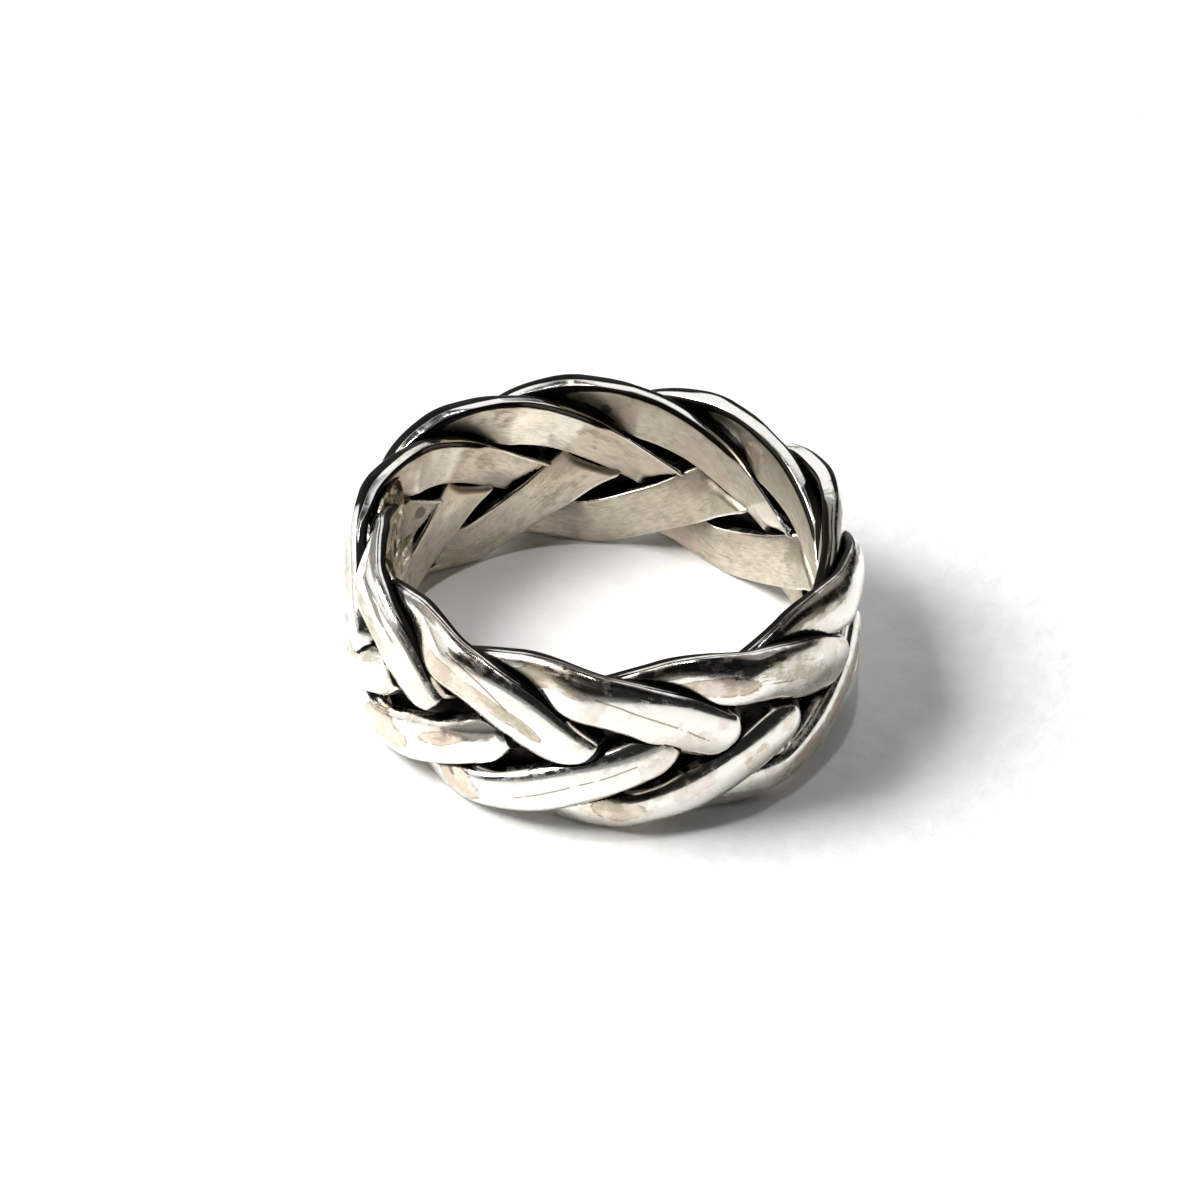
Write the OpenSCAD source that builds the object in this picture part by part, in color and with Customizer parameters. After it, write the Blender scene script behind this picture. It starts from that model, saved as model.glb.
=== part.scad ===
// Band ring plaited flat from five silver strands, lying on its side.
// Units are millimetres. +Z is the finger's axis, and the ring stands on z = 0.
// Each strand is one closed loop: it runs over two and under two of its neighbours, domed
// outside and ground flat inside, and its two ends are soldered together.

/* [Ring] */
// Inner diameter, the finger size
finger_d = 18; // [17:0.5:20]
// Height of the band along the finger
band_h = 8.2; // [8.1:0.1:9]

/* [Strand] */
// Width of a strand
strand_w = 2.12; // [1.8:0.04:2.12]
// Thickness of a strand from its flat side to the top of its dome
strand_t = 0.9; // [0.6:0.02:0.9]
// Share of the width that a strand gains where it lies outside
swell = 0.1; // [0:0.01:0.1]
// Share of the thickness below the shoulders of the dome
shoulder = 0.3; // [0.2:0.05:0.35]

/* [Braid] */
// Radial distance between the inner and the outer layer of strands
layer_step = 1.04; // [1.04:0.02:1.3]
// Angle of the first strand's first bend at the upper edge
first_bend = 122; // [0:1:359]
// Angle by which the bends of the lower edge lag behind those of the upper edge
lean = 8; // [0:1:9]
// Angle by which the bends are drawn together at the soldered joint
crowding = 5.8; // [0:0.2:8]

/* [Hidden] */

strands = 5;
bends = 10;
pitch = 360 / bends;
half_run = strands / 2;
finger_r = finger_d / 2;
inner_r = finger_r + strand_t / 2;
middle_r = inner_r + layer_step / 2;
rise = (band_h - strand_w) / 2;

// A strand's way is measured in steps of one pitch. It bends at the upper edge at step 0 and
// at the lower edge at half_run. In each half run it comes out, lies over two, dives and lies
// under two. These lengths are in steps.
come_out = 0.6;
dive = 0.28;
dive_at = half_run / 2;
swell_at = 0.6;
swell_reach = 0.5;

// Twists of a strand about its own line. A positive twist turns its upper edge outwards.
STEP = 0;
REACH = 1;
TWIST = 2;
TWISTS = [
    // step, reach, twist
    [0.25, 0.4, -9],
    [1.25, 0.45, 15],
    [2.25, 0.4, -9],
    [2.75, 0.4, 9],
    [3.75, 0.45, -15],
    [4.75, 0.4, 9]
];

// Section of a strand: the dome is an arc and the flat side a short table.
dome_sides = 8;
ACROSS = 0;
OUT = 1;
FLAT = [
    // across as a share of half the width, out as a share of the thickness
    [-0.97, 0.08],
    [-0.88, 0],
    [-0.44, 0],
    [0, 0],
    [0.44, 0],
    [0.88, 0],
    [0.97, 0.08]
];
DOME = [
    for (i = [0:dome_sides])
        let (a = 180 * i / dome_sides)
        [cos(a), shoulder + (1 - shoulder) * sin(a)]
];
SECTION = concat(DOME, FLAT);
sides = len(SECTION);

// Rings of points stand closer where a strand dives than where it bends.
rings_per_half = 24;
ring_bunching = 0.5;
halves = 2 * bends / strands;
STATIONS = [
    for (h = [0:halves - 1])
        for (i = [0:rings_per_half - 1])
            let (q = i / rings_per_half)
            half_run * (h + q + ring_bunching * sin(360 * q) / (2 * PI))
];
rings = len(STATIONS);

function wrap(x, span) = x - span * floor(x / span);
function smooth(x) = let (c = min(1, max(0, x))) c * c * (3 - 2 * c);
function bump(x) = abs(x) < 1 ? (1 + cos(180 * x)) / 2 : 0;

// From -1 in the inner layer to 1 in the outer layer.
function layer(s) =
    let (x = wrap(s, half_run))
    2 * (smooth((x + come_out / 2) / come_out)
        - smooth((x - dive_at + dive / 2) / dive)
        + smooth((x - half_run + come_out / 2) / come_out)) - 1;

function from_step(s, step) = wrap(s - step + half_run, strands) - half_run;
function sum(list, i = 0) = i < len(list) ? list[i] + sum(list, i + 1) : 0;
function twist(s) = sum([for (t = TWISTS) t[TWIST] * bump(from_step(s, t[STEP]) / t[REACH])]);
function width(s) = strand_w * (1 + swell * bump((wrap(s, half_run) - swell_at) / swell_reach));
function height(s) = band_h / 2 + rise * cos(360 * s / strands);
function slope(s) = atan(-rise * 360 / strands * sin(360 * s / strands) / (middle_r * pitch));

// Place on the ring of a point at an even angle, radius and height. The lean and the crowding
// move it round the ring.
function on_ring(angle, r, z) =
    let (
        leaning = first_bend + angle - lean * (band_h / 2 + rise - z) / (2 * rise),
        a = leaning + crowding * sin(leaning)
    )
    [r * cos(a), r * sin(a), z];

// Point of strand k at step s, across and out from the middle of its section.
function strand_point(k, s, across, out) =
    let (
        tw = twist(s),
        up = across * cos(tw) - out * sin(tw),
        r = middle_r + layer(s) * layer_step / 2 + across * sin(tw) + out * cos(tw),
        along = -up * sin(slope(s)),
        z = height(s) + up * cos(slope(s)),
        angle = pitch * (s + k) + atan2(along, r)
    )
    on_ring(angle, max(finger_r, norm([r, along])), z);

function ring_at(k, s) = [
    for (p = SECTION)
        strand_point(k, s, p[ACROSS] * width(s) / 2, (p[OUT] - 0.5) * strand_t)
];

// Two triangles between each pair of neighbouring points of two rings that follow each other.
function corner(ring, side) = (ring % rings) * sides + side % sides;
LOOP_FACES = [
    for (i = [0:rings - 1])
        for (j = [0:sides - 1])
            each [
                [corner(i, j), corner(i + 1, j + 1), corner(i, j + 1)],
                [corner(i, j), corner(i + 1, j), corner(i + 1, j + 1)]
            ]
];

module strand(k) {
    points = [for (s = STATIONS) each ring_at(k, s)];
    polyhedron(points = points, faces = LOOP_FACES, convexity = 8);
}

module strand_1() {
    color("silver") strand(0);
}

module strand_2() {
    color("gainsboro") strand(1);
}

module strand_3() {
    color("lightgray") strand(2);
}

module strand_4() {
    color("silver") strand(3);
}

module strand_5() {
    color("gainsboro") strand(4);
}

strand_1();
strand_2();
strand_3();
strand_4();
strand_5();
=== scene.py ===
"""A finger ring plaited from five silver strands, lying on a pale table in soft light."""

import logging
from dataclasses import dataclass
from enum import Enum
from math import atan2, copysign, cos, degrees as to_degrees, hypot, pi, radians, sin, sqrt
from typing import NamedTuple

import bmesh
import bpy
from bmesh.types import BMesh
from bpy.types import ID, Material, Node, NodeSocket, NodeTree, Object
from mathutils import Matrix, Vector, noise
from mathutils.bvhtree import BVHTree


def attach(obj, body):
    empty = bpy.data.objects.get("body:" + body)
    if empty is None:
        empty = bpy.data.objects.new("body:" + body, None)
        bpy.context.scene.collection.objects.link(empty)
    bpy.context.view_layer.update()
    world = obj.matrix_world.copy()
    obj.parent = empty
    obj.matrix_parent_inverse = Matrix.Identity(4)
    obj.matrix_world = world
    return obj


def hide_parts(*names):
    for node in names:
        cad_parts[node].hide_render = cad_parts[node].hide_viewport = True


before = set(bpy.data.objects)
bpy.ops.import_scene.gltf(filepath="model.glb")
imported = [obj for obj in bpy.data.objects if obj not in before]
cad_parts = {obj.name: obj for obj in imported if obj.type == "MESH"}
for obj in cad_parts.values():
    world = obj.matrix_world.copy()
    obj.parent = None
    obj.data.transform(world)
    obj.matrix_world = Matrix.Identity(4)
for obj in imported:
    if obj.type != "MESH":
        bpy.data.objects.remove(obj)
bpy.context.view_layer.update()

MM = 0.001
PHOTO_SIDE = 1200
LOG = logging.getLogger("braided_ring")

Colour = tuple[float, float, float]


def smooth(x: float) -> float:
    """Returns 0 below 0, 1 above 1 and a smooth step between them."""
    c = min(1.0, max(0.0, x))
    return c * c * (3.0 - 2.0 * c)


def bump(x: float) -> float:
    """Returns a round hump that is 1 at 0 and ends at -1 and 1."""
    return (1.0 + cos(pi * x)) / 2.0 if abs(x) < 1.0 else 0.0


def ramp(x: float, low: float, high: float) -> float:
    """Returns how far x has come from low to high, smoothed and kept between 0 and 1."""
    return smooth((x - low) / (high - low))


def from_way(s: float, step: float, whole: float) -> float:
    """Returns the shortest way from a step to s on a loop of a given length."""
    return (s - step + whole / 2.0) % whole - whole / 2.0


def new_object(name: str, data: ID) -> Object:
    """Puts a new object in the scene.

    Args:
        name: The object's name.
        data: Its mesh, light or camera.

    Returns:
        The object.
    """
    piece = bpy.data.objects.new(name, data)
    bpy.context.scene.collection.objects.link(piece)
    return piece


def mesh_object(name: str, bm: BMesh, rounded: bool = False) -> Object:
    """Makes an object of a finished bmesh and frees the bmesh.

    Args:
        name: The object's name.
        bm: Its shape.
        rounded: Whether its faces are shaded as one smooth surface.

    Returns:
        The object.
    """
    for f in bm.faces:
        f.smooth = rounded
    mesh = bpy.data.meshes.new(name)
    bm.to_mesh(mesh)
    bm.free()
    return new_object(name, mesh)


class Twist(NamedTuple):
    """A twist of every strand about its own line, round one step of its way."""

    step: float
    reach: float
    degrees: float


class Late(NamedTuple):
    """A place where one strand dives later than the even braid does, by a share of a step.

    Its upper edge dives later than its middle by the skew, and its lower edge earlier.
    """

    strand: int
    step: float
    steps: float
    skew: float = 0.0


@dataclass(frozen=True)
class Braid:
    """The way of the strands round the finger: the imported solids' sizes, with sharper dives.

    A strand's way is measured in steps of one pitch. It bends at the upper edge at step 0 and at
    the lower edge half a run later. Its edges are worn there to a shallow crown, so it is drawn a
    little wider and cut off along the crown, which peaks at the height of the band.
    """

    finger_d: float = 18.0 * MM
    band_h: float = 8.2 * MM
    strand_w: float = 2.12 * MM
    strand_t: float = 0.9 * MM
    swell: float = 0.15
    layer_step: float = 1.04 * MM
    first_bend: float = 122.0
    lean: float = 8.0
    crowding: float = 5.8
    strands: int = 5
    bends: int = 10
    come_out: float = 0.6
    dive: float = 0.15
    dive_at: float = 1.29
    dive_lag: float = 0.1
    dive_skew: float = 0.1
    skewed_below: float = 0.3
    swell_at: float = 0.8
    swell_reach: float = 0.6
    tip: float = 0.07
    worn: float = 0.02
    worn_behind: float = 0.09
    worn_reach: float = 1.0
    crown_r: float = 0.8 * MM
    crown_r_behind: float = 1.6 * MM
    crown_at: float = 0.36 * MM
    thicker_behind: float = 0.07
    blunt_to: float = 0.6
    sharp_from: float = 1.2
    twists: tuple[Twist, ...] = (
        Twist(0.0, 0.7, -9.0),
        Twist(2.5, 0.7, 9.0),
        Twist(0.25, 0.4, -9.0),
        Twist(1.25, 0.45, 15.0),
        Twist(2.25, 0.4, -9.0),
        Twist(2.75, 0.4, 9.0),
        Twist(3.75, 0.45, -15.0),
        Twist(4.75, 0.4, 9.0),
    )
    late_reach: float = 1.25
    lates: tuple[Late, ...] = (
        Late(0, 3.75, 0.07),
        Late(1, 1.25, 0.14),
        Late(1, 3.75, 0.12),
        Late(2, 1.25, -0.03, 0.1),
        Late(3, 1.25, 0.05, 0.1),
        Late(4, 8.75, 0.1),
    )

    @property
    def pitch(self) -> float:
        """Returns the even angle between two bends, in degrees."""
        return 360.0 / self.bends

    @property
    def half_run(self) -> float:
        """Returns the steps from one edge of the band to the other."""
        return self.strands / 2.0

    @property
    def middle_r(self) -> float:
        """Returns the radius halfway between the two layers."""
        return (self.finger_d + self.strand_t + self.layer_step) / 2.0

    @property
    def rise(self) -> float:
        """Returns how far a strand's line goes up and down from the middle of the band."""
        return (self.band_h - self.strand_w) / 2.0

    def from_step(self, s: float, step: float) -> float:
        """Returns the shortest way from a step to s along the repeat."""
        return from_way(s, step, self.strands)

    def layer(self, strand: int, s: float, across: float = 0.0, out: float = 0.0) -> float:
        """Returns -1 in the inner layer, 1 in the outer one and the way between them.

        Args:
            strand: The strand's number, from 0.
            s: The step along the way.
            across: Across the strand. Its edges dive a little before its middle, and it dives
                along the strand that crosses it.
            out: Outward in the strand. Its flat side dives a little before its dome.

        Returns:
            The layer.
        """
        x = s % self.half_run
        came = smooth(x / self.come_out + 0.5)
        side = 1.0 if s % self.strands < self.half_run else -1.0
        ahead = self.tip * across**4 + self.dive_lag * (0.5 - out) - self.late(strand, s, across)
        ahead -= side * self.dive_skew * across * max(0.0, self.skewed_below - out)
        down = smooth((x + ahead - self.dive_at) / self.dive + 0.5)
        again = smooth((x - self.half_run) / self.come_out + 0.5)
        return 2.0 * (came - down + again) - 1.0

    def degrees(self, strand: int, s: float) -> float:
        """Returns the angle round the ring of a strand's middle at a step."""
        return self.first_bend + self.pitch * (s + strand) - self.lean / 2.0

    def behind(self, strand: int, s: float) -> float:
        """Returns 1 on the half of the ring that is worn most, 0 on the other and the way between."""
        return ramp(sin(radians(self.degrees(strand, s))), 0.0, 0.4)

    def blunting(self, strand: int, s: float, across: float) -> float:
        """Returns how blunt the section is at a step, on the side that shows at the band's edge."""
        away = self.from_step(s, 0.0 if across > 0.0 else self.half_run)
        return self.behind(strand, s) * (1.0 - ramp(abs(away), self.blunt_to, self.sharp_from))

    def late(self, strand: int, s: float, across: float) -> float:
        """Returns by how many steps a strand's dive near a step comes later than usual."""
        near = (x for x in self.lates if x.strand == strand and abs(s - x.step) < self.late_reach)
        return sum(x.steps + x.skew * across for x in near)

    def place(self, strand: int, s: float, across: float, out: float) -> Vector:
        """Works out where a point of a strand's section lies.

        Args:
            strand: The strand's number, from 0.
            s: The step along its way.
            across: Across the strand, as a share of half its width.
            out: Outward from the middle of its thickness, as a share of its thickness.

        Returns:
            The point in the ring's frame.
        """
        swell = bump((s % self.half_run - self.swell_at) / self.swell_reach)
        width = self.strand_w * (1.0 + self.swell * swell)
        behind = self.behind(strand, s)
        bend = bump(self.from_step(2.0 * s, 0.0) / 2.0 / self.worn_reach)
        width *= 1.0 + bend * (self.worn + (self.worn_behind - self.worn) * behind)
        twist = sum(t.degrees * bump(self.from_step(s, t.step) / t.reach) for t in self.twists)
        turn = radians(twist)
        phase = 2.0 * pi * s / self.strands
        height = self.band_h / 2.0 + self.rise * cos(phase)
        climb = -self.rise * 2.0 * pi / self.strands * sin(phase)
        slope = atan2(climb, self.middle_r * radians(self.pitch))
        a = across * width / 2.0
        o = out * self.strand_t * (1.0 + self.thicker_behind * bend * behind)
        up = a * cos(turn) - o * sin(turn)
        r = self.middle_r + self.layer(strand, s, across, out) * self.layer_step / 2.0
        r += a * sin(turn) + o * cos(turn)
        along = -up * sin(slope)
        crown_r = self.crown_r + (self.crown_r_behind - self.crown_r) * behind
        drop = (o + self.strand_t / 2.0 - self.crown_at) ** 2 / (2.0 * crown_r)
        z = min(self.band_h - drop, max(drop, height + up * cos(slope)))
        radius = max(self.finger_d / 2.0, hypot(r, along))
        even = self.pitch * (s + strand) + to_degrees(atan2(along, r))
        return self.on_ring(even, radius, z)

    def on_ring(self, even: float, radius: float, z: float) -> Vector:
        """Moves a point of the even braid round the ring by the lean and the crowding.

        Args:
            even: Its angle in the even braid, in degrees.
            radius: Its distance from the finger's axis.
            z: Its height.

        Returns:
            The point in the ring's frame.
        """
        drop = (self.band_h / 2.0 + self.rise - z) / (2.0 * self.rise)
        leaning = self.first_bend + even - self.lean * drop
        a = radians(leaning + self.crowding * sin(radians(leaning)))
        return Vector((radius * cos(a), radius * sin(a), z))


class SectionPoint(NamedTuple):
    """A point of a strand's section: its place as shares of width and thickness, and its side.

    The blunt place is the one that it takes at a bend.
    """

    across: float
    out: float
    inner: float
    rubbed: float
    blunt_across: float
    blunt_out: float


@dataclass(frozen=True)
class Section:
    """The outline of a strand: domed outside, ground flat inside, with a small corner radius."""

    shoulder: float = 0.36
    fullness: float = 2.2
    blunt_fullness: float = 4.0
    dome_sides: int = 24
    flat_sides: int = 8
    corner_across: float = 0.1
    corner_out: float = 0.15
    blunt_corner: float = 1.6
    corner_sides: int = 5
    shoulder_rub: float = 0.7

    def outline(self) -> list[SectionPoint]:
        """Goes once round the section, from its upper shoulder over the dome.

        Returns:
            Its points in order.
        """
        points = []
        for i in range(self.dome_sides + 1):
            a = pi * i / self.dome_sides
            rubbed = self.shoulder_rub if i in (0, self.dome_sides) else 0.0
            usual, blunt = self.dome(a, self.fullness), self.dome(a, self.blunt_fullness)
            points.append(SectionPoint(*usual, 0.0, rubbed, *blunt))
        points += self.corner(-1.0)
        for i in range(1, self.flat_sides):
            share = 2.0 * i / self.flat_sides - 1.0
            across = share * (1.0 - self.corner_across)
            blunt = share * (1.0 - self.blunt_corner * self.corner_across)
            points.append(SectionPoint(across, -0.5, 1.0, 0.0, blunt, -0.5))
        points += reversed(self.corner(1.0))
        return points

    def dome(self, angle: float, fullness: float) -> tuple[float, float]:
        """Works out a point of the dome.

        Args:
            angle: Its angle from the upper shoulder.
            fullness: How square the dome is, where 2 is an oval.

        Returns:
            Its place across and out.
        """
        c, s = cos(angle), sin(angle)
        power = 2.0 / fullness
        out = self.shoulder + (1.0 - self.shoulder) * abs(s) ** power
        return copysign(abs(c) ** power, c), out - 0.5

    def corner(self, side: float) -> list[SectionPoint]:
        """Works out the round corner between the side wall and the flat.

        Args:
            side: 1 at the upper edge and -1 at the lower one.

        Returns:
            Its points from the side wall to the flat.
        """
        points = []
        for i in range(self.corner_sides + 1):
            a = pi / 2.0 * i / self.corner_sides
            back = self.corner_across * (1.0 - cos(a))
            low = self.corner_out * (1.0 - sin(a))
            usual = (side * (1.0 - back), low - 0.5)
            blunt = (side * (1.0 - back * self.blunt_corner), low * self.blunt_corner - 0.5)
            points.append(SectionPoint(*usual, i / self.corner_sides, 1.0, *blunt))
        return points


class Socket:
    """A shader socket that takes part in sums, so that a pattern reads as an expression."""

    def __init__(self, tree: NodeTree, socket: NodeSocket) -> None:
        """Keeps the tree and the socket."""
        self.tree = tree
        self.socket = socket

    def _math(self, operation: str, *values: "Value") -> "Socket":
        """Adds a Math node for an operation and returns its result."""
        return add(self.tree, "ShaderNodeMath", {"operation": operation}, *values)

    def __add__(self, other: "Value") -> "Socket":
        """Returns the sum."""
        return self._math("ADD", self, other)

    def __radd__(self, other: float) -> "Socket":
        """Returns the sum."""
        return self._math("ADD", other, self)

    def __sub__(self, other: "Value") -> "Socket":
        """Returns the difference."""
        return self._math("SUBTRACT", self, other)

    def __rsub__(self, other: float) -> "Socket":
        """Returns the difference from a number."""
        return self._math("SUBTRACT", other, self)

    def __mul__(self, other: "Value") -> "Socket":
        """Returns the product."""
        return self._math("MULTIPLY", self, other)

    def __rmul__(self, other: float) -> "Socket":
        """Returns the product."""
        return self._math("MULTIPLY", other, self)

    def __truediv__(self, other: "Value") -> "Socket":
        """Returns the quotient."""
        return self._math("DIVIDE", self, other)

    def __rtruediv__(self, other: float) -> "Socket":
        """Returns the quotient of a number and this value."""
        return self._math("DIVIDE", other, self)

    def power(self, exponent: float) -> "Socket":
        """Returns this value raised to a power."""
        return self._math("POWER", self, exponent)

    def magnitude(self) -> "Socket":
        """Returns the value without its sign."""
        return self._math("ABSOLUTE", self)

    def most(self, other: "Value") -> "Socket":
        """Returns the larger of the two."""
        return self._math("MAXIMUM", self, other)

    def ramp(self, low: float, high: float) -> "Socket":
        """Returns a smooth step from 0 at low to 1 at high."""
        settings = {"interpolation_type": "SMOOTHSTEP"}
        return add(self.tree, "ShaderNodeMapRange", settings, self, low, high, 0.0, 1.0)


Value = Socket | float


def connect(socket: NodeSocket, value: Value | tuple) -> None:
    """Links a value to a socket or sets it there.

    Args:
        socket: The socket.
        value: The link, number, vector or colour. A colour gets its alpha here.
    """
    if isinstance(value, Socket):
        value.tree.links.new(value.socket, socket)
    else:
        socket.default_value = (*value, 1.0) if socket.type == "RGBA" else value


def add(
    tree: NodeTree,
    kind: str,
    settings: dict[str, object] | None = None,
    *values: Value | tuple,
    output: str | int = 0,
    **named: Value | tuple,
) -> Socket:
    """Adds a node, sets it and feeds its sockets.

    Args:
        tree: The node tree.
        kind: The node's type.
        settings: The node's own settings, set before its sockets are.
        *values: Values or links of its first sockets, in order.
        output: The name or number of the output that is wanted.
        **named: Values or links of sockets by name, with _ for a space.

    Returns:
        The wanted output.
    """
    node = tree.nodes.new(kind)
    for key, value in (settings or {}).items():
        setattr(node, key, value)
    for socket, value in zip(node.inputs, values):
        connect(socket, value)
    feed(node, **named)
    return Socket(tree, node.outputs[output])


def feed(node: Node, **values: Value | tuple) -> None:
    """Sets or links the sockets of a node by name, with _ for a space."""
    for key, value in values.items():
        connect(node.inputs[key.replace("_", " ")], value)


def blend_colours(share: Value, low: Socket | Colour, high: Socket | Colour) -> Socket:
    """Mixes two colours.

    Args:
        share: How much of the second colour shows.
        low: The first colour.
        high: The second colour.

    Returns:
        The mixed colour.
    """
    tree = next(x for x in (share, low, high) if isinstance(x, Socket)).tree
    node = tree.nodes.new("ShaderNodeMix")
    node.data_type = "RGBA"
    for number, value in zip((0, 6, 7), (share, low, high)):
        connect(node.inputs[number], value)
    return Socket(tree, node.outputs[2])


def blend_values(share: Socket, low: Value, high: Value) -> Socket:
    """Mixes two values by a share."""
    return share * (high - low) + low


def noise_over(where: Socket, scale: float, detail: float, roughness: float = 0.5) -> Socket:
    """Returns a noise from 0 to 1 over a surface."""
    named = {"Vector": where, "Scale": scale, "Detail": detail, "Roughness": roughness}
    return add(where.tree, "ShaderNodeTexNoise", **named)


def bumped(height: Socket) -> Socket:
    """Returns the normal of a surface with small heights on it, given in metres."""
    return add(height.tree, "ShaderNodeBump", Height=height, Strength=1.0, Distance=1.0)


def new_material(name: str) -> tuple[Material, Socket, Node]:
    """Makes an empty material with one main shader.

    Args:
        name: The material's name.

    Returns:
        The material, the places on its piece and its shader.
    """
    material = bpy.data.materials.new(name)
    material.use_nodes = True
    tree = material.node_tree
    tree.nodes.clear()
    shader = tree.nodes.new("ShaderNodeBsdfPrincipled")
    target = tree.nodes.new("ShaderNodeOutputMaterial")
    tree.links.new(shader.outputs["BSDF"], target.inputs["Surface"])
    return material, add(tree, "ShaderNodeTexCoord", output="Object"), shader


class Trait(Enum):
    """The values that a strand's mesh carries for its finish and for the shade painted on it."""

    RECESS = "recess"
    INNER = "inner"
    RUBBED = "rubbed"
    BURIED = "buried"
    GRAIN = "grain"
    MARKS = "marks"
    HAIR = "hair"


class Kind(Enum):
    """The kinds of mark on a strand, in the order of the depths of marks_at."""

    STAIN = "stain"
    SMOKE = "smoke"
    SPOTLESS_AND_SHEEN = "spotless_and_sheen"
    DULL = "dull"


class Mark(NamedTuple):
    """An oval mark on one strand, with its middle and half sizes in steps and in half widths."""

    strand: int
    step: float
    across: float
    length: float
    width: float


class Hair(NamedTuple):
    """A hairline on the outer side of one strand."""

    strand: int
    from_step: float
    from_across: float
    to_step: float
    to_across: float


MARK_SLANT = -0.05

# The marks by their kind and by whether they lie on the inner side.
MARKS: dict[tuple[Kind, bool], tuple[Mark, ...]] = {
    (Kind.STAIN, False): (
        Mark(3, 0.05, -0.35, 0.3, 0.34), Mark(3, 0.36, -0.28, 0.26, 0.3),
        Mark(3, 0.64, -0.12, 0.24, 0.24), Mark(3, 0.88, 0.0, 0.17, 0.2),
        Mark(0, 2.88, 0.4, 0.2, 0.6), Mark(0, 3.04, 0.0, 0.12, 0.45),
        Mark(0, 3.46, 0.28, 0.16, 0.24), Mark(3, 3.2, 0.1, 0.4, 0.4), Mark(1, 2.6, 0.2, 0.19, 0.8),
        Mark(4, 9.96, 0.42, 0.2, 0.42), Mark(4, 0.12, 0.16, 0.1, 0.2),
        Mark(0, 4.96, -0.15, 0.34, 0.4), Mark(2, 2.67, 0.4, 0.15, 0.45),
        Mark(2, 3.5, 0.18, 0.03, 0.12), Mark(2, 3.41, 0.16, 0.025, 0.1),
        Mark(3, 2.97, 0.3, 0.14, 0.3),
    ),
    # The mark at strand 1 step 7.66 is painted shade.
    (Kind.STAIN, True): (
        Mark(0, 9.98, -0.45, 0.14, 0.45), Mark(4, 4.81, 0.0, 0.1, 0.5),
        Mark(3, 4.9, 0.1, 0.16, 0.6), Mark(1, 7.66, -0.6, 0.2, 0.5),
    ),
    (Kind.SMOKE, False): (
        Mark(3, 0.3, 0.66, 0.09, 0.14), Mark(3, 0.46, 0.74, 0.12, 0.16),
        Mark(0, 3.68, 0.5, 0.2, 0.5), Mark(1, 4.78, 0.75, 0.4, 0.4), Mark(2, 0.5, 0.5, 0.4, 0.12),
        Mark(0, 4.85, 0.66, 0.5, 0.24), Mark(2, 4.75, 0.8, 0.4, 0.4), Mark(1, 5.4, 0.9, 0.2, 0.2),
        Mark(1, 2.54, 0.45, 0.05, 0.12), Mark(4, 0.1, 0.9, 0.3, 0.2), Mark(0, 5.26, 0.6, 0.03, 0.1),
        Mark(2, 2.78, 0.9, 0.2, 0.14),
    ),
    (Kind.SMOKE, True): (
        Mark(2, 8.88, 0.45, 0.09, 0.35), Mark(4, 5.0, -0.1, 0.05, 0.3),
    ),
    # Spots kept free of the painted shade and stains where glints show.
    (Kind.SPOTLESS_AND_SHEEN, False): (
        Mark(0, 5.29, -0.85, 0.07, 0.16), Mark(4, 1.31, 0.97, 0.04, 0.1),
        Mark(2, 3.59, 0.9, 0.05, 0.14), Mark(3, 3.33, 0.81, 0.07, 0.12),
        Mark(3, 2.8, 0.84, 0.24, 0.1),
    ),
    # Cream patches on the inner flats, partly unsoiled metal and partly painted reflection.
    (Kind.SPOTLESS_AND_SHEEN, True): (
        Mark(0, 9.5, 0.0, 0.28, 3.0), Mark(1, 9.55, 0.0, 0.27, 3.0), Mark(3, 5.7, 0.5, 0.2, 0.4),
        Mark(4, 3.8, 0.0, 0.1, 3.0), Mark(3, 4.89, -0.5, 0.015, 0.1),
    ),
    (Kind.DULL, False): (
        Mark(3, 0.66, -0.1, 0.14, 0.18), Mark(3, 0.84, -0.02, 0.2, 0.2),
        Mark(0, 3.46, 0.28, 0.08, 0.14), Mark(4, 9.9, 0.5, 0.16, 0.3),
        Mark(2, 2.62, 0.6, 0.14, 0.3), Mark(1, 4.9, 0.35, 0.3, 0.3), Mark(1, 0.82, 0.4, 0.4, 0.4),
        Mark(4, 8.45, 0.6, 0.4, 0.4), Mark(2, 0.45, -0.2, 0.4, 0.35), Mark(0, 5.42, 0.5, 0.25, 0.3),
        Mark(0, 5.85, -0.1, 0.2, 0.5), Mark(4, 0.05, 0.5, 0.3, 0.3), Mark(3, 3.1, -0.2, 0.4, 0.4),
        Mark(0, 5.6, 0.1, 0.34, 0.3),
    ),
    # The marks at strand 1 step 6.3 and strand 2 step 6.22 are painted shade laid over reflections.
    (Kind.DULL, True): (
        Mark(0, 9.98, -0.4, 0.2, 0.6), Mark(3, 5.3, 0.3, 0.3, 0.6), Mark(4, 5.1, 0.3, 0.3, 0.7),
        Mark(1, 6.3, 0.0, 0.3, 3.0), Mark(2, 6.22, -0.6, 0.12, 0.8), Mark(3, 7.3, -0.4, 0.3, 0.5),
    ),
}
HAIRS = (
    Hair(4, 0.24, 0.2, 1.08, -0.02),
    Hair(1, 2.98, -0.02, 3.34, 0.14),
    Hair(1, 3.34, 0.14, 3.68, -0.02),
    Hair(0, 5.36, -0.16, 5.6, -0.14),
    Hair(3, 0.2, 0.47, 0.56, 0.32),
    Hair(3, 0.56, 0.32, 0.76, 0.16),
)


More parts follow.
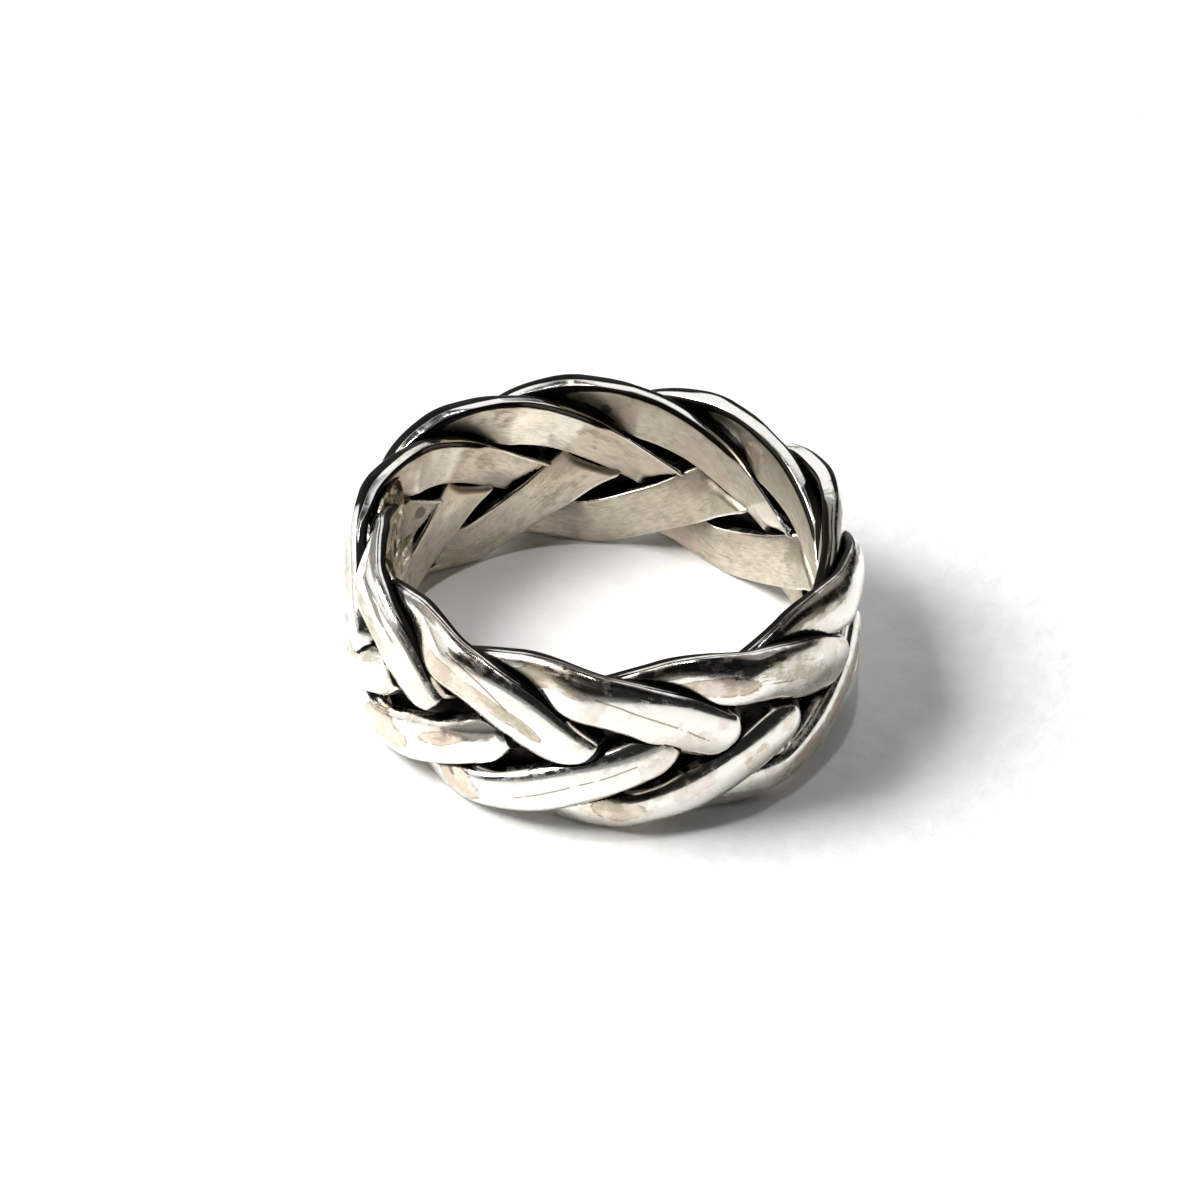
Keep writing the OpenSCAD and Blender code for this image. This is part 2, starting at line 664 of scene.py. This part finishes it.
@dataclass(frozen=True)
class PolishedSilver:
    """Polished silver, stained outside and softly brushed inside. Its recesses, the places under
    crossing strands and lines along the upper rims are painted black, partly patina in the hollows
    and partly painted shade, with a painted dark reflection along the rims; the inner flats carry
    painted reflections in cream.

    The dents are in millimetres.
    """

    polished: Colour = (0.93, 0.925, 0.89)
    brushed: Colour = (0.68, 0.61, 0.51)
    cream: Colour = (0.9, 0.85, 0.75)
    greyed: Colour = (0.4, 0.36, 0.29)
    stained: Colour = (0.66, 0.55, 0.45)
    dulled: Colour = (0.46, 0.42, 0.32)
    outline: Colour = (0.33, 0.27, 0.19)
    smoked: Colour = (0.15, 0.128, 0.1)
    shade_black: Colour = (0.008, 0.0075, 0.006)
    mirror: float = 0.11
    satin: float = 0.32
    dull: float = 0.5
    hair_half: float = 0.02
    cloud_scale: float = 420.0
    speck_scale: float = 1300.0
    patch_scale: float = 190.0
    ripple_scale: float = 650.0
    streak_scale: float = 9.0
    brush_scale: float = 30.0
    brush_dent: float = 0.0008
    brush_dent_inside: float = 0.003
    ripple_dent: float = 0.007
    ripple_dent_inside: float = 0.006
    speck_dent: float = 0.0018

    def build(self, name: str) -> Material:
        """Makes the material.

        Args:
            name: The material's name.

        Returns:
            The material.
        """
        material, where, shader = new_material(name)
        tree = where.tree
        recess, inner = self.trait(tree, Trait.RECESS), self.trait(tree, Trait.INNER)
        rubbed, buried = self.trait(tree, Trait.RUBBED), self.trait(tree, Trait.BURIED)
        grain = self.trait(tree, Trait.GRAIN, "Vector")
        stain_depth, smoke_depth, spotless_and_sheen_depth = self.parts(tree, Trait.MARKS)
        hair, hair_cover, dull_depth = self.parts(tree, Trait.HAIR)
        clouds = noise_over(where, self.cloud_scale, 5.0)
        specks = noise_over(where, self.speck_scale, 5.0, 0.65)
        patches = noise_over(where, self.patch_scale, 4.0, 0.6)
        ripples = noise_over(where, self.ripple_scale, 3.5)
        streaks = noise_over(grain, self.streak_scale, 6.0, 0.7)
        hairs = noise_over(grain, self.brush_scale, 3.0)
        fray = (clouds - 0.5) * 0.5 + (specks - 0.5) * 0.35
        in_stain = stain_depth + fray + (patches - 0.5) * 0.9 + (streaks - 0.5) * 0.5
        stain = in_stain.ramp(0.0, 0.07).most(patches.ramp(0.54, 0.56) * 0.5)
        edge = (1.0 - in_stain.magnitude().ramp(0.02, 0.1)) * (1.0 - inner * 0.8)
        smoke = (smoke_depth + fray * 2.4 + (streaks - 0.5) * 0.8).ramp(-0.05, 0.3)
        # Cream patches on the inner flats, partly unsoiled metal and partly painted reflection of the
        # window; on the outer side, spots kept free of the painted shade and stains where glints
        # show.
        spotless_and_sheen = (spotless_and_sheen_depth + fray * 0.5).ramp(0.0, 0.25)
        # Dull olive patches; the two at strand 1 step 6.3 and strand 2 step 6.22 on the inner flats
        # are painted shade laid over reflections.
        dull = (dull_depth + fray * 1.2 + (streaks - 0.5) * 2.4).ramp(0.0, 0.4)
        line = (hair + (clouds - 0.5) * 0.16 + (specks - 0.5) * 0.05).magnitude()
        drawn = 1.0 - line.ramp(self.hair_half, 2.4 * self.hair_half)
        scratch = drawn * hair_cover * specks.ramp(0.38, 0.46)
        smudge = (specks * 0.55 + clouds * 0.45 + (streaks - 0.5) * 0.2).ramp(0.5, 0.58)
        # Black in the recesses, under crossing strands and along the rim lines: partly patina in the
        # hollows, partly painted shade, and along the rims a painted dark reflection.
        closed = recess + buried * 0.4 - inner * 0.22 - rubbed * 0.5
        patina_and_painted_shade = (closed + (clouds - 0.5) * 0.22 + (streaks - 0.5) * 0.12).ramp(0.18, 0.32)
        black_patina_and_shade = patina_and_painted_shade * (1.0 - spotless_and_sheen * (1.0 - inner))
        brushing = (streaks * 0.6 + specks * 0.4).ramp(0.41, 0.6) * 0.6
        brushing = brushing + patches.ramp(0.42, 0.6) * 0.3
        # The inner flats vary in tone at random and grey a little towards their edges, which is
        # painted shade.
        worn = blend_colours(brushing + rubbed * 0.2, self.brushed, self.greyed)
        flat = blend_colours(spotless_and_sheen * (1.0 - brushing * 0.5), worn, self.cream)
        warmth = (streaks * 0.5 + specks * 0.5).ramp(0.45, 0.6) * 0.4
        bare = blend_colours(inner, blend_colours(warmth, self.polished, self.cream), flat)
        grainy = 0.55 + specks.ramp(0.35, 0.6) * 0.45
        pinkish = blend_colours(stain * (1.0 - spotless_and_sheen) * grainy, bare, self.stained)
        coloured = blend_colours(dull * grainy * 0.9, pinkish, self.dulled)
        rimmed = edge * (1.0 - spotless_and_sheen) * specks.ramp(0.38, 0.5) * 0.85
        outlined = blend_colours(rimmed, coloured, self.outline)
        scratched = blend_colours(scratch * 0.9, outlined, self.outline)
        smoked = blend_colours(smoke * 0.85, scratched, self.smoked)
        uneven = (streaks - 0.45).most(0.0) * 0.6 + stain * 0.05 + smudge * 0.16
        finish = blend_values(inner, self.mirror, self.satin) + uneven
        brushed = hairs * (self.brush_dent + inner * self.brush_dent_inside)
        rippled = ripples * (self.ripple_dent + inner * self.ripple_dent_inside)
        feed(
            shader,
            Base_Color=blend_colours(black_patina_and_shade, smoked, self.shade_black),
            Metallic=1.0,
            Roughness=blend_values(black_patina_and_shade, finish, self.dull),
            Normal=bumped((brushed + rippled + specks * self.speck_dent) * MM),
        )
        return material

    @staticmethod
    def trait(tree: NodeTree, trait: Trait, output: str = "Fac") -> Socket:
        """Reads one of the values that the mesh carries."""
        return add(tree, "ShaderNodeAttribute", {"attribute_name": trait.value}, output=output)

    def parts(self, tree: NodeTree, trait: Trait) -> list[Socket]:
        """Reads the three parts of a vector that the mesh carries."""
        whole = add(tree, "ShaderNodeSeparateXYZ", None, self.trait(tree, trait, "Vector"))
        return [Socket(tree, x) for x in whole.socket.node.outputs]


@dataclass(frozen=True)
class PittedSolder:
    """Rough solder at the joint, tarnished brown and full of small pits."""

    bare: Colour = (0.72, 0.66, 0.54)
    tarnished: Colour = (0.34, 0.29, 0.2)
    pitted: Colour = (0.06, 0.04, 0.02)
    clean_finish: float = 0.24
    dirty_finish: float = 0.5
    grain_scale: float = 1500.0
    grain_height: float = 0.02 * MM

    def build(self, name: str) -> Material:
        """Makes the material.

        Args:
            name: The material's name.

        Returns:
            The material.
        """
        material, where, shader = new_material(name)
        grains = noise_over(where, self.grain_scale, 6.0)
        patches = noise_over(where, self.grain_scale / 3.0, 2.0)
        dirty = (grains * 0.6 + patches * 0.4).ramp(0.42, 0.6)
        pits = (patches * 0.7 + grains * 0.3).ramp(0.57, 0.6)
        skin = blend_colours(dirty, self.bare, self.tarnished)
        feed(
            shader,
            Base_Color=blend_colours(pits, skin, self.pitted),
            Metallic=1.0,
            Roughness=blend_values(dirty, self.clean_finish, self.dirty_finish),
            Normal=bumped(grains * self.grain_height),
        )
        return material


@dataclass(frozen=True)
class PaleTable:
    """The pale, faintly grained table that the ring lies on."""

    colour: Colour = (0.83, 0.83, 0.82)
    shaded: Colour = (0.79, 0.79, 0.775)
    finish: float = 0.6
    grain_scale: float = 900.0
    grain_height: float = 0.1 * MM

    def build(self, name: str) -> Material:
        """Makes the material.

        Args:
            name: The material's name.

        Returns:
            The material.
        """
        material, where, shader = new_material(name)
        grain = noise_over(where, self.grain_scale, 4.0)
        feed(
            shader,
            Base_Color=blend_colours(grain.ramp(0.3, 0.7), self.colour, self.shaded),
            Roughness=self.finish,
            Normal=bumped(grain * self.grain_height),
        )
        return material


@dataclass(frozen=True)
class SilverStrand:
    """One strand of the braid, a closed loop swept along its way."""

    braid: Braid
    section: Section
    number: int
    rings: int = 480
    hammer_height: float = 0.02 * MM
    hammer_size: float = 2.2 * MM
    hammer_apart: float = 9.0
    inner_spared: float = 0.7
    grain_round: float = 2.4
    grain_across: float = 1.5
    grain_apart: float = 7.0
    grain_inner: float = 3.0
    rim_full: float = 0.8
    rim_gone: float = 1.15
    rim_black: float = 1.6
    rim_faint: float = 0.1
    smoke_steps: float = 0.75
    smoke_at: float = 0.89
    smoke_half: float = 0.1
    thin_from: float = 50.0
    thin_to: float = 66.0
    buried_from: float = 0.8
    buried_to: float = 1.9

    @property
    def node(self) -> str:
        """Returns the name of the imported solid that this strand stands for."""
        return f"strand_{self.number + 1}"

    def build(self) -> Object:
        """Sweeps the section along the strand's way.

        Returns:
            The strand, with its traits as mesh attributes.
        """
        outline = self.section.outline()
        sides = len(outline)
        bm = bmesh.new()
        bmesh.ops.create_grid(bm, x_segments=sides, y_segments=self.rings, size=0.5)
        numbers, vectors = bm.verts.layers.float, bm.verts.layers.float_vector
        single = (Trait.INNER, Trait.RUBBED, Trait.BURIED)
        inner, rubbed, buried = (numbers.new(x.value) for x in single)
        threefold = (Trait.GRAIN, Trait.MARKS, Trait.HAIR)
        grain, marks, hair = (vectors.new(x.value) for x in threefold)
        for v in bm.verts:
            side = round((v.co.x + 0.5) * sides) % sides
            turn = round((v.co.y + 0.5) * self.rings) % self.rings / self.rings
            p = outline[side]
            s = turn * self.braid.bends
            rim = self.rim(s, p)
            v[inner], v[rubbed] = p.inner, p.rubbed * (1.0 - rim)
            # Painted shade: the places under crossing strands and the dark rim lines, whose outer
            # part is a painted dark reflection.
            v[buried] = max(self.buried(s, p), self.rim_black * rim)
            stain, smoke, spotless_and_sheen, dull = self.marks_at(s, p)
            beside = rim < self.rim_faint and p.out > 0.0
            smoked = self.rim_smoke(s, p) if beside else -1.0
            v[marks] = (stain, max(smoke, smoked), spotless_and_sheen)
            v[hair] = (*self.hair_at(s, p), dull)
            a = 2.0 * pi * turn
            v[grain] = (
                self.grain_round * cos(a),
                self.grain_round * sin(a),
                self.grain_across * p.across + self.grain_apart * self.number
                + self.grain_inner * p.inner,
            )
            blunting = self.braid.blunting(self.number, s, p.across)
            across = p.across + (p.blunt_across - p.across) * blunting
            out = p.out + (p.blunt_out - p.out) * blunting
            v.co = self.braid.place(self.number, s, across, out)
        bmesh.ops.remove_doubles(bm, verts=bm.verts, dist=0.0001 * MM)
        bm.normal_update()
        self.hammer(bm)
        bmesh.ops.recalc_face_normals(bm, faces=bm.faces)
        return mesh_object(f"silver_{self.node}", bm, rounded=True)

    def rim(self, s: float, p: SectionPoint) -> float:
        """Returns how far a point lies in the dark lines painted along the upper rim: a painted dark
        reflection on the outer side and painted shade at the inner corner.

        Args:
            s: The step along the way.
            p: The point of the section.

        Returns:
            0 outside the lines and 1 in them.
        """
        if p.across < 0.0:
            return 0.0
        near = 1.0 - ramp(abs(self.braid.from_step(s, 0.0)), self.rim_full, self.rim_gone)
        behind = self.braid.behind(self.number, s)
        if p.rubbed == 1.0:
            ahead, back = 1.0, smooth(2.5 * p.inner)
        elif p.inner > 0.0:
            ahead, back = 0.5 * ramp(p.across, 0.5, 0.7), 0.25 * ramp(p.across, 0.4, 0.6)
        else:
            degrees = self.braid.degrees(self.number, s) % 360.0
            thin = 1.0 - ramp(degrees, self.thin_from, self.thin_to)
            top = max(0.63 * ramp(p.across, 0.9925, 1.0), thin * ramp(p.across, 0.95, 0.9925))
            ahead = 0.5 if p.out < 0.0 else 0.0
            back = ramp(p.across, 0.7, 0.8) * (1.0 - top)
        return near * (ahead + (back - ahead) * behind)

    def rim_smoke(self, s: float, p: SectionPoint) -> float:
        """Returns how deep a point lies in the tarnish beside the worn edge of an upper bend."""
        over = (p.across - self.smoke_at) / self.smoke_half
        return 1.0 - hypot(self.braid.from_step(s, 0.0) / self.smoke_steps, over)

    def buried(self, s: float, p: SectionPoint) -> float:
        """Returns how far a point of the outer side lies under the strands that cross it, where the
        material paints shade.
        """
        crossed = self.buried_from < s % self.braid.half_run < self.buried_to
        return ramp(-self.braid.layer(self.number, s), 0.0, 0.6) * (1.0 - p.inner) if crossed else 0.0

    def marks_at(self, s: float, p: SectionPoint) -> list[float]:
        """Measures how deep a point lies in the marks of each kind.

        Args:
            s: The step along the way.
            p: The point of the section.

        Returns:
            For each kind of mark, 1 in its middle, 0 at its edge and less outside, down to -1.
        """
        depths = []
        for kind in Kind:
            deepest = -1.0
            for m in MARKS[kind, p.inner > 0.5]:
                if m.strand == self.number:
                    along = from_way(s, m.step + MARK_SLANT * p.across, self.braid.bends)
                    away = hypot(along / m.length, (p.across - m.across) / m.width)
                    deepest = max(deepest, 1.0 - away)
            depths.append(deepest)
        return depths

    def hair_at(self, s: float, p: SectionPoint) -> tuple[float, float]:
        """Measures how far a point lies from the nearest hairline.

        Args:
            s: The step along the way.
            p: The point of the section.

        Returns:
            The signed distance across the strand in millimetres, and 1 where a line covers this
            step or 0 where none does.
        """
        found = (1.0, 0.0)
        for h in HAIRS:
            if h.strand == self.number and p.inner == 0.0 and h.from_step <= s <= h.to_step:
                share = (s - h.from_step) / (h.to_step - h.from_step)
                line = h.from_across + (h.to_across - h.from_across) * share
                away = (p.across - line) * self.braid.strand_w / 2.0 / MM
                found = min(found, (away, 1.0), key=lambda x: abs(x[0]))
        return found

    def hammer(self, bm: BMesh) -> None:
        """Gives the outer side the slight unevenness of forged wire.

        Args:
            bm: The strand's mesh.
        """
        inner = bm.verts.layers.float[Trait.INNER.value]
        low = self.braid.finger_d / 2.0
        apart = Vector((0.0, 0.0, self.hammer_apart * self.number))
        for v in bm.verts:
            height = noise.noise(v.co / self.hammer_size + apart)
            v.co += v.normal * height * self.hammer_height * (1.0 - self.inner_spared * v[inner])
            r = hypot(v.co.x, v.co.y)
            if r < low:
                v.co.x *= low / r
                v.co.y *= low / r
            v.co.z = min(self.braid.band_h, max(0.0, v.co.z))


@dataclass(frozen=True)
class Recesses:
    """Works out how deep each point of the braid lies between the strands, which the material paints
    as shade.
    """

    reach: float = 1.2 * MM
    lift: float = 0.01 * MM
    rays: int = 24

    def directions(self) -> list[Vector]:
        """Spreads directions over the half sphere about +Z, denser towards +Z.

        Returns:
            The directions.
        """
        golden = pi * (3.0 - sqrt(5.0))
        found = []
        for i in range(self.rays):
            turn = golden * i
            out = sqrt((i + 0.5) / self.rays)
            up = sqrt(1.0 - out * out)
            found.append(Vector((out * cos(turn), out * sin(turn), up)))
        return found

    def measure(self, strands: list[Object]) -> None:
        """Stores on each strand the share of its view that other strands close off.

        Args:
            strands: All strands of the braid.
        """
        bm = bmesh.new()
        for piece in strands:
            bm.from_mesh(piece.data)
        tree = BVHTree.FromBMesh(bm)
        bm.free()
        ways = self.directions()
        for piece in strands:
            mesh = piece.data
            layer = mesh.attributes.new(Trait.RECESS.value, "FLOAT", "POINT")
            shares = []
            for v in mesh.vertices:
                turn = v.normal.to_track_quat("Z", "X")
                start = v.co + v.normal * self.lift
                closed = 0.0
                for way in ways:
                    hit = tree.ray_cast(start, turn @ way, self.reach)
                    if hit[0] is not None:
                        closed += 1.0 - 0.5 * hit[3] / self.reach
                shares.append(closed / len(ways))
            layer.data.foreach_set("value", shares)


@dataclass(frozen=True)
class SolderJoint:
    """The rough solder over the strands' ends, inside the ring on its left.

    It covers a strip and has run into the pores beside its lower half.
    """

    braid: Braid
    from_angle: float = 136.0
    strip_from: float = 156.0
    strip_to: float = 195.0
    to_angle: float = 204.0
    low: float = 0.6 * MM
    high: float = 7.6 * MM
    proud: float = 0.12 * MM
    deepest_r: float = 9.46 * MM
    thickness: float = 0.2 * MM
    lump_height: float = 0.16 * MM
    lump_size: float = 0.5 * MM
    fine_lumps: float = 0.4
    finer: float = 2.7
    run_depth: float = 0.25 * MM
    edge_depth: float = 0.5 * MM
    run_to: float = 0.46
    run_fade: float = 0.06
    ragged_degrees: float = 4.0
    columns: int = 150
    rows: int = 130

    def build(self) -> Object:
        """Makes the patch of solder as a closed, thick sheet with a rough inner side.

        Returns:
            The patch.
        """
        bm = bmesh.new()
        bmesh.ops.create_grid(bm, x_segments=self.columns, y_segments=self.rows, size=0.5)
        for v in bm.verts:
            u, t = v.co.x + 0.5, v.co.y + 0.5
            strip_start = self.strip_from - self.ragged_degrees
            start = self.from_angle + (strip_start - self.from_angle) * self.above_run(t)
            degrees = start + (self.to_angle - start) * u
            angle = radians(degrees)
            z = self.low + (self.high - self.low) * t
            at = Vector((cos(angle), sin(angle), 0.0)) * self.braid.finger_d / 2.0
            at.z = z
            lumps = abs(noise.noise(at / self.lump_size))
            lumps += self.fine_lumps * abs(noise.noise(at / self.lump_size * self.finer))
            sink = self.lump_height * lumps + self.sinking(degrees, u, t)
            r = min(self.deepest_r, self.braid.finger_d / 2.0 - self.proud + sink)
            v.co = Vector((r * cos(angle), r * sin(angle), z))
        bm.normal_update()
        bmesh.ops.solidify(bm, geom=bm.faces, thickness=-self.thickness)
        bmesh.ops.recalc_face_normals(bm, faces=bm.faces)
        return mesh_object("solder_joint", bm, rounded=True)

    def above_run(self, t: float) -> float:
        """Returns 0 where the solder has run beside the strip and 1 above that."""
        return ramp(t, self.run_to, self.run_to + self.run_fade)

    def sinking(self, degrees: float, u: float, t: float) -> float:
        """Works out how far the solder lies behind the finger's surface.

        Args:
            degrees: The angle round the ring.
            u: The share of the way along the patch.
            t: The share of the way up the patch.

        Returns:
            The distance, which is nothing within the strip.
        """
        at = Vector((0.12 * degrees, 5.0 * t, 0.0))
        ragged = noise.noise(at) + 0.5 * noise.noise(at * 2.3)
        inside = min(degrees - self.strip_from, self.strip_to - degrees)
        strip = ramp(inside + self.ragged_degrees * ragged, -self.ragged_degrees, 2.0)
        border = ramp(min(u / 2.0, 1.0 - u, t, 1.0 - t) - 0.05 * ragged, 0.03, 0.14)
        beside = self.run_depth + self.edge_depth * self.above_run(t)
        return beside * (1.0 - strip) + self.edge_depth * (1.0 - border)


@dataclass(frozen=True)
class PoreShadeSheet:
    """A black sheet that closes the pores between the strands: painted shade where the pores look
    dark.

    A pore lies between four crossings: its top, its left and right, and its bottom.
    """

    braid: Braid
    share: float = 1.05
    inner_r: float = 9.72 * MM
    depth: float = 0.14 * MM
    cuts: int = 6

    def build(self) -> Object:
        """Makes one plug for each pore.

        Returns:
            All plugs in one mesh.
        """
        bm = bmesh.new()
        for upper in (True, False):
            for bend in range(self.braid.bends):
                self.plug(bm, bend, upper)
        bmesh.ops.recalc_face_normals(bm, faces=bm.faces)
        return mesh_object("pore_shade_sheet", bm)

    def plug(self, bm: BMesh, bend: int, upper: bool) -> None:
        """Adds the plug of one pore.

        Args:
            bm: The mesh that takes it.
            bend: The bend of the upper or lower edge that the pore hangs from.
            upper: Whether the pore lies in the upper row.
        """
        made = bmesh.ops.create_grid(bm, x_segments=self.cuts, y_segments=self.cuts, size=0.5)
        way = 2.0 * pi / self.braid.strands
        top, side, bottom = (cos(way * x) * self.braid.rise for x in (0.5, 1.0, 1.5))
        middle = (top + 2.0 * side + bottom) / 4.0
        sign = 1.0 if upper else -1.0
        for v in made["verts"]:
            a, b = v.co.x + 0.5, v.co.y + 0.5
            over = (a - b) * 0.5 * self.share
            height = top * (1 - a) * (1 - b) + side * (a * (1 - b) + b * (1 - a)) + bottom * a * b
            z = self.braid.band_h / 2.0 + sign * (middle + (height - middle) * self.share)
            even = self.braid.pitch * (bend + (0.5 if upper else 0.0) + over)
            v.co = self.braid.on_ring(even, self.inner_r, z)
        faces = list({f for v in made["verts"] for f in v.link_faces})
        bm.normal_update()
        bmesh.ops.solidify(bm, geom=faces, thickness=sign * self.depth)


@dataclass(frozen=True)
class Lamp:
    """A soft light that faces the ring: a square one, or a round beam where it has a cone."""

    name: str
    aim: tuple[float, float, float]
    azimuth: float
    elevation: float
    distance: float
    size: float
    power: float
    colour: Colour = (1.0, 1.0, 1.0)
    cone: float = 0.0
    cone_blend: float = 0.6

    def build(self) -> None:
        """Hangs the light."""
        data = bpy.data.lights.new(self.name, "SPOT" if self.cone else "AREA")
        data.energy = self.power
        data.color = self.colour
        if self.cone:
            data.shadow_soft_size = self.size
            data.spot_size = radians(self.cone)
            data.spot_blend = self.cone_blend
        else:
            data.size = self.size
        a, e = radians(self.azimuth), radians(self.elevation)
        back = Vector((cos(e) * cos(a), cos(e) * sin(a), sin(e)))
        lamp = new_object(self.name, data)
        lamp.location = Vector(self.aim) + back * self.distance
        lamp.rotation_euler = back.to_track_quat("Z", "Y").to_euler()


@dataclass(frozen=True)
class Viewpoint:
    """The photograph's camera: where it looks from, how it is turned and how close it frames."""

    elevation: float = 38.21
    roll: float = -3.33
    distance: float = 491.6 * MM
    aim: tuple[float, float, float] = (-0.09 * MM, 0.0, 4.07 * MM)
    focal_pixels: float = 11676.0
    sensor: float = 36.0

    def build(self) -> None:
        """Makes the camera and sets it as the scene's."""
        data = bpy.data.cameras.new("photo_camera")
        data.sensor_width = self.sensor
        data.lens = self.focal_pixels / PHOTO_SIDE * self.sensor
        data.clip_start, data.clip_end = 0.01, 10.0
        e, roll = radians(self.elevation), radians(self.roll)
        back = Vector((0.0, -cos(e), sin(e)))
        right, up = Vector((1.0, 0.0, 0.0)), Vector((0.0, sin(e), cos(e)))
        turned_right = right * cos(roll) - up * sin(roll)
        turned_up = right * sin(roll) + up * cos(roll)
        turn = Matrix((turned_right, turned_up, back)).transposed().to_4x4()
        camera = new_object("photo_camera", data)
        camera.matrix_world = Matrix.Translation(Vector(self.aim) + back * self.distance) @ turn
        bpy.context.scene.camera = camera


class Glow(NamedTuple):
    """A bright part of the room: its azimuth and half widths, its sines of elevation, its colour."""

    azimuth: float
    full_to: float
    gone_at: float
    low: float
    low_full: float
    high_full: float
    high: float
    colour: Colour

    def share(self, way: Socket, up: Socket, level: Socket) -> Socket:
        """Adds the nodes that say how much of the glow is seen in a direction.

        Args:
            way: The direction.
            up: Its vertical part.
            level: The length of its level part.

        Returns:
            The share, from 0 to 1.
        """
        a = radians(self.azimuth)
        side = (cos(a), sin(a), 0.0)
        settings = {"operation": "DOT_PRODUCT"}
        facing = add(way.tree, "ShaderNodeVectorMath", settings, way, side, output="Value")
        low, high = cos(radians(self.gone_at)), cos(radians(self.full_to))
        over, under = up.ramp(self.low, self.low_full), up.ramp(self.high_full, self.high)
        return (facing / level).ramp(low, high) * over * (1.0 - under)


@dataclass(frozen=True)
class Studio:
    """The table, the lights and the dim room round them."""

    table_side: float = 4.0
    lamps: tuple[Lamp, ...] = (
        Lamp("window", (0.0, 0.0, 4.0 * MM), 186.0, 49.4, 0.5, 0.25, 3.9, (1.0, 0.995, 0.98)),
        Lamp("overhead", (-1.5 * MM, 0.0, 0.0), 0.0, 90.0, 0.3, 0.012, 2.2, cone=4.0),
    )
    dark: Colour = (0.015, 0.016, 0.014)
    glows: tuple[Glow, ...] = (
        Glow(168.0, 22.0, 48.0, 0.02, 0.12, 0.8, 0.93, (0.95, 0.95, 0.94)),
        Glow(125.0, 32.0, 52.0, 0.02, 0.14, 0.8, 0.92, (1.0, 1.0, 1.0)),
        Glow(95.0, 50.0, 78.0, 0.36, 0.5, 0.8, 0.92, (1.0, 1.0, 1.0)),
        Glow(42.0, 28.0, 50.0, 0.52, 0.62, 0.8, 0.92, (0.95, 0.95, 0.95)),
        Glow(240.0, 20.0, 60.0, -0.1, 0.02, 0.12, 0.3, (0.32, 0.32, 0.31)),
    )

    def build(self) -> None:
        """Makes the table, the lamps and the room's light."""
        bm = bmesh.new()
        bmesh.ops.create_grid(bm, x_segments=1, y_segments=1, size=self.table_side / 2.0)
        table = mesh_object("table", bm)
        table.data.materials.append(PaleTable().build("pale_table"))
        for lamp in self.lamps:
            lamp.build()
        self.room()

    def room(self) -> None:
        """Makes the room's light: dim over most of it, with a few bright parts."""
        world = bpy.data.worlds.new("room")
        world.use_nodes = True
        tree = world.node_tree
        tree.nodes.clear()
        way = add(tree, "ShaderNodeTexCoord", output="Generated")
        up = add(tree, "ShaderNodeSeparateXYZ", None, way, output="Z")
        level = (1.0 - up * up).most(0.0001).power(0.5)
        colour = self.dark
        for glow in self.glows:
            colour = blend_colours(glow.share(way, up, level), colour, glow.colour)
        surface = add(tree, "ShaderNodeBackground", None, Color=colour, Strength=1.0)
        target = tree.nodes.new("ShaderNodeOutputWorld")
        tree.links.new(surface.socket, target.inputs["Surface"])
        bpy.context.scene.world = world


def set_tone() -> None:
    """Shows the picture with plain tones, so that the lit table is white."""
    view = bpy.context.scene.view_settings
    view.view_transform = "Standard"
    view.look = "None"
    view.exposure = 0.0


def dress(piece: Object, material: Material) -> None:
    """Gives a piece its finish, puts it on the ring's body and reports it.

    Args:
        piece: The piece.
        material: The finish.
    """
    piece.data.materials.append(material)
    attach(piece, "root")
    LOG.info("%s: %d faces", piece.name, len(piece.data.polygons))


def main() -> None:
    """Builds the ring and its studio, and reports each piece."""
    logging.basicConfig(level=logging.INFO, format="%(message)s")
    braid = Braid()
    section = Section()
    silver = PolishedSilver().build("polished_silver")
    strands = []
    for number in range(braid.strands):
        strand = SilverStrand(braid, section, number)
        piece = strand.build()
        dress(piece, silver)
        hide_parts(strand.node)
        strands.append(piece)
    Recesses(rays=24).measure(strands)
    LOG.info("recesses measured")
    dress(SolderJoint(braid).build(), PittedSolder().build("pitted_solder"))
    # The pore sheet's near-black finish is painted shade.
    shade_black = PittedSolder((0.02, 0.018, 0.015), (0.008, 0.007, 0.006), (0.012, 0.01, 0.007))
    dress(PoreShadeSheet(braid).build(), shade_black.build("shade_black"))
    Studio().build()
    Viewpoint().build()
    set_tone()


if __name__ == "__main__":
    main()
